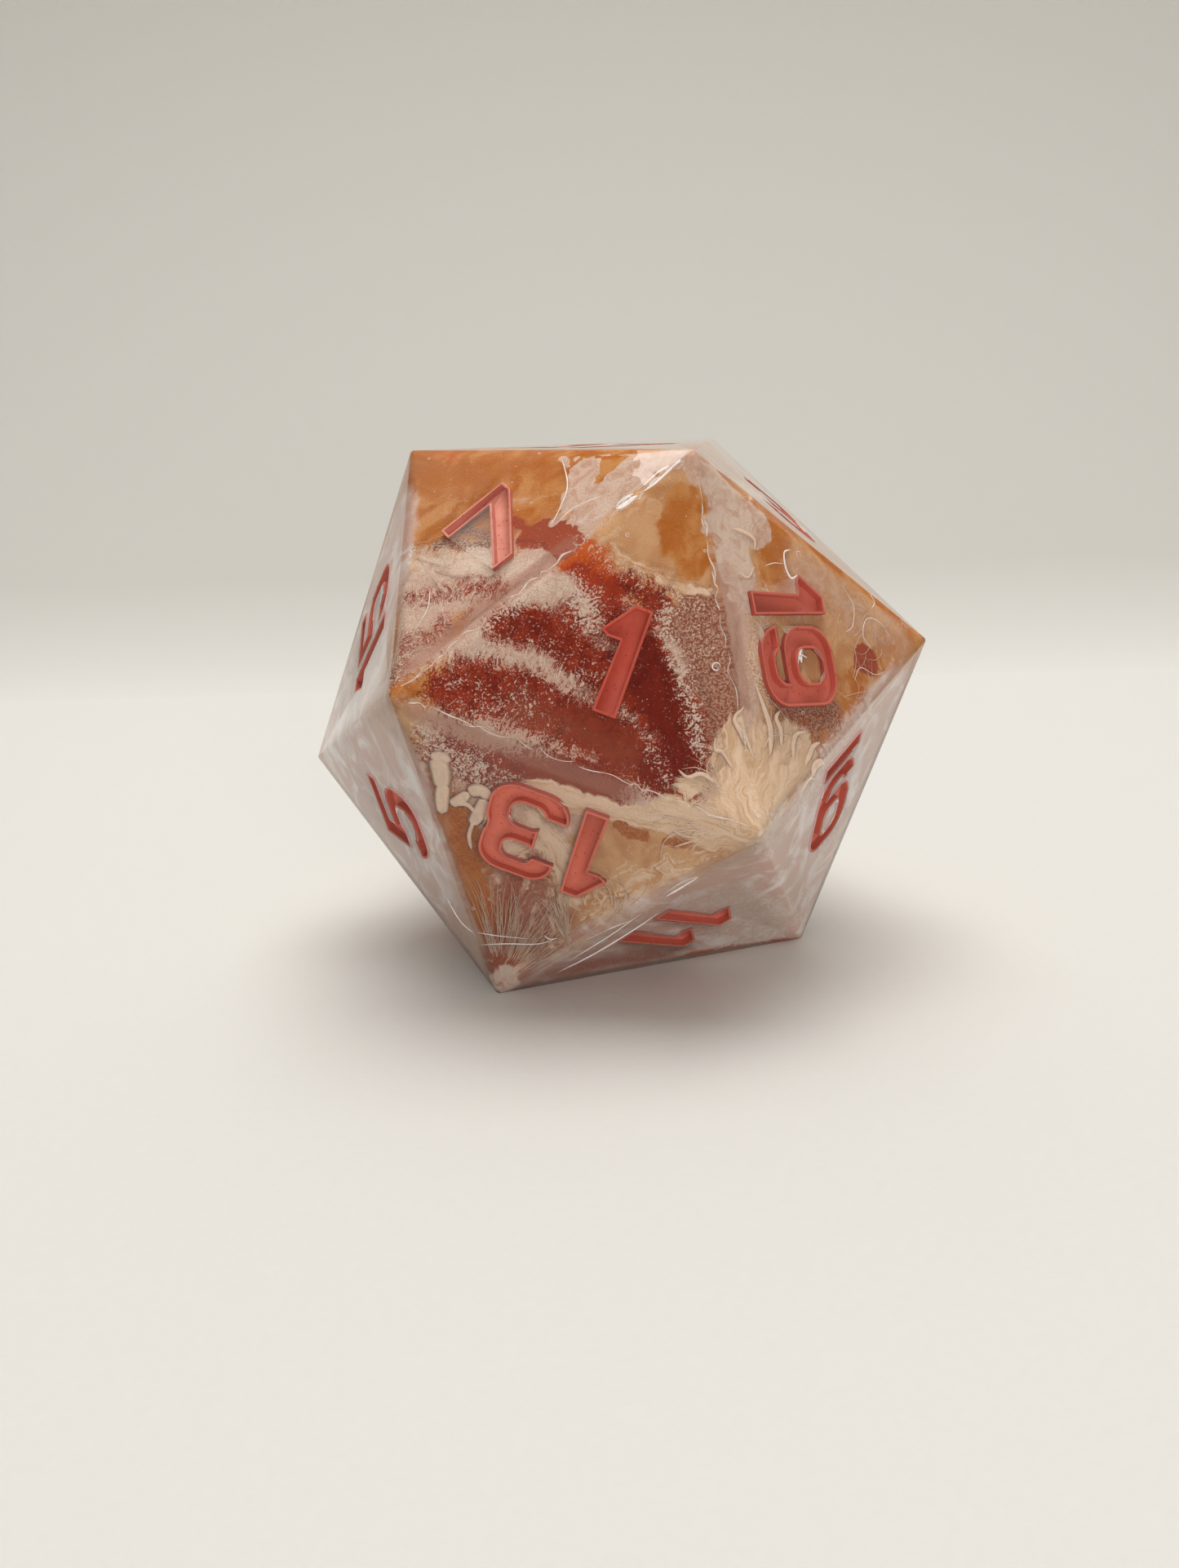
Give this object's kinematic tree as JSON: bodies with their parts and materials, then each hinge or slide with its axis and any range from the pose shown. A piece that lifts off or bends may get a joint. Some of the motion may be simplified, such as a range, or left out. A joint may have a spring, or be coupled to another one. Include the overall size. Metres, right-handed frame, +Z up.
{
  "type": "polyhedral die",
  "caption": "Hand-cast clear resin polyhedral die with coloured pours sealed inside and painted engraved numerals.",
  "frame": {"origin": "centre of the face numbered 4, which the die rests on", "axes": "+Z up through the centre of the opposite face, numbered 17; the front edge of the resting face runs along X, and the face numbered 11 rises from it, towards -Y"},
  "size_m": [0.032, 0.037, 0.03],
  "materials": {
    "clear_resin": "clear epoxy casting resin with polished faces and slightly worn edges",
    "maroon_ink": "maroon ink bloom with a fine white fur, set in resin",
    "cream_ink": "cream ink plume in feathery strands, set in resin",
    "amber_mica": "amber resin with gold mica powder",
    "cloudy_pink": "milky grey-pink resin",
    "number_paint": "coral red acrylic paint in the engraved numerals"
  },
  "bodies": {
    "root": {"clear_resin_body": "clear_resin", "maroon_ink_bloom": "maroon_ink", "cream_ink_plume": "cream_ink", "amber_mica_pour": "amber_mica", "cloudy_pink_pour": "cloudy_pink", "number_paint_01": "number_paint", "number_paint_02": "number_paint", "number_paint_03": "number_paint", "number_paint_04": "number_paint", "number_paint_05": "number_paint", "number_paint_06": "number_paint", "number_paint_07": "number_paint", "number_paint_08": "number_paint", "number_paint_09": "number_paint", "number_paint_10": "number_paint", "number_paint_11": "number_paint", "number_paint_12": "number_paint", "number_paint_13": "number_paint", "number_paint_14": "number_paint", "number_paint_15": "number_paint", "number_paint_16": "number_paint", "number_paint_17": "number_paint", "number_paint_18": "number_paint", "number_paint_19": "number_paint", "number_paint_20": "number_paint"}
  },
  "joints": []
}
